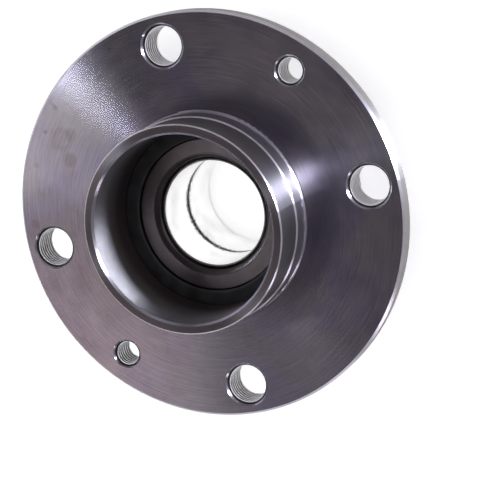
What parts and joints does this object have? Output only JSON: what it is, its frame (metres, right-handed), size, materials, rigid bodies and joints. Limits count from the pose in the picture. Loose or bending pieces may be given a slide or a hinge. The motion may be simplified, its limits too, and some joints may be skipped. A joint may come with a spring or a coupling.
{
  "type": "wheel hub bearing",
  "caption": "Flanged wheel hub turning on a sealed double row angular contact ball bearing, with a stepped centring spigot, threaded wheel bolt holes and a plain bore for a stub axle.",
  "frame": {"origin": "centre of the flange's outboard face, the face that carries the brake disc and the wheel, on the axis of rotation", "axes": "+Z along the axis of rotation, outboard, towards the spigot's nose; +X through one of the four wheel bolt holes, +Y through the next"},
  "size_m": [0.1156, 0.1156, 0.0592],
  "materials": {
    "hub_steel": "fine-turned forged steel, lightly oiled, dark grey",
    "ring_steel": "ground and hardened bearing steel, dark grey",
    "ball_steel": "polished bearing steel",
    "cage_polyamide": "moulded glass-filled polyamide, natural cream",
    "case_steel": "pressed sheet steel",
    "seal_rubber": "moulded nitrile rubber, black",
    "slinger_steel": "pressed stainless sheet",
    "clip_steel": "spring steel strip"
  },
  "bodies": {
    "axle_rings": {"inner_ring_outboard": "ring_steel", "inner_ring_inboard": "ring_steel", "inner_ring_clip": "clip_steel", "seal_slinger": "slinger_steel"},
    "hub": {"hub_flange": "hub_steel", "seal_case_outboard": "case_steel", "seal_lip_outboard": "seal_rubber", "seal_case_inboard": "case_steel", "seal_lip_inboard": "seal_rubber"},
    "cage_row_outboard": {"cage_outboard": "cage_polyamide", "ball_outboard_01": "ball_steel", "ball_outboard_02": "ball_steel", "ball_outboard_03": "ball_steel", "ball_outboard_04": "ball_steel", "ball_outboard_05": "ball_steel", "ball_outboard_06": "ball_steel", "ball_outboard_07": "ball_steel", "ball_outboard_08": "ball_steel", "ball_outboard_09": "ball_steel", "ball_outboard_10": "ball_steel", "ball_outboard_11": "ball_steel", "ball_outboard_12": "ball_steel", "ball_outboard_13": "ball_steel", "ball_outboard_14": "ball_steel"},
    "cage_row_inboard": {"cage_inboard": "cage_polyamide", "ball_inboard_01": "ball_steel", "ball_inboard_02": "ball_steel", "ball_inboard_03": "ball_steel", "ball_inboard_04": "ball_steel", "ball_inboard_05": "ball_steel", "ball_inboard_06": "ball_steel", "ball_inboard_07": "ball_steel", "ball_inboard_08": "ball_steel", "ball_inboard_09": "ball_steel", "ball_inboard_10": "ball_steel", "ball_inboard_11": "ball_steel", "ball_inboard_12": "ball_steel", "ball_inboard_13": "ball_steel", "ball_inboard_14": "ball_steel"}
  },
  "joints": [
    {"name": "hub_spin", "type": "hinge", "parent": "axle_rings", "child": "hub", "pos_m": [0, 0, 0], "axis": [0, 0, 1], "continuous": true},
    {"name": "cage_outboard_spin", "type": "hinge", "parent": "axle_rings", "child": "cage_row_outboard", "pos_m": [0, 0, -0.0155], "axis": [0, 0, 1], "continuous": true},
    {"name": "cage_inboard_spin", "type": "hinge", "parent": "axle_rings", "child": "cage_row_inboard", "pos_m": [0, 0, -0.0315], "axis": [0, 0, 1], "continuous": true}
  ],
  "couplings": [
    {"joint": "cage_outboard_spin", "follows": "hub_spin", "ratio": 0.5694},
    {"joint": "cage_inboard_spin", "follows": "hub_spin", "ratio": 0.5694}
  ]
}
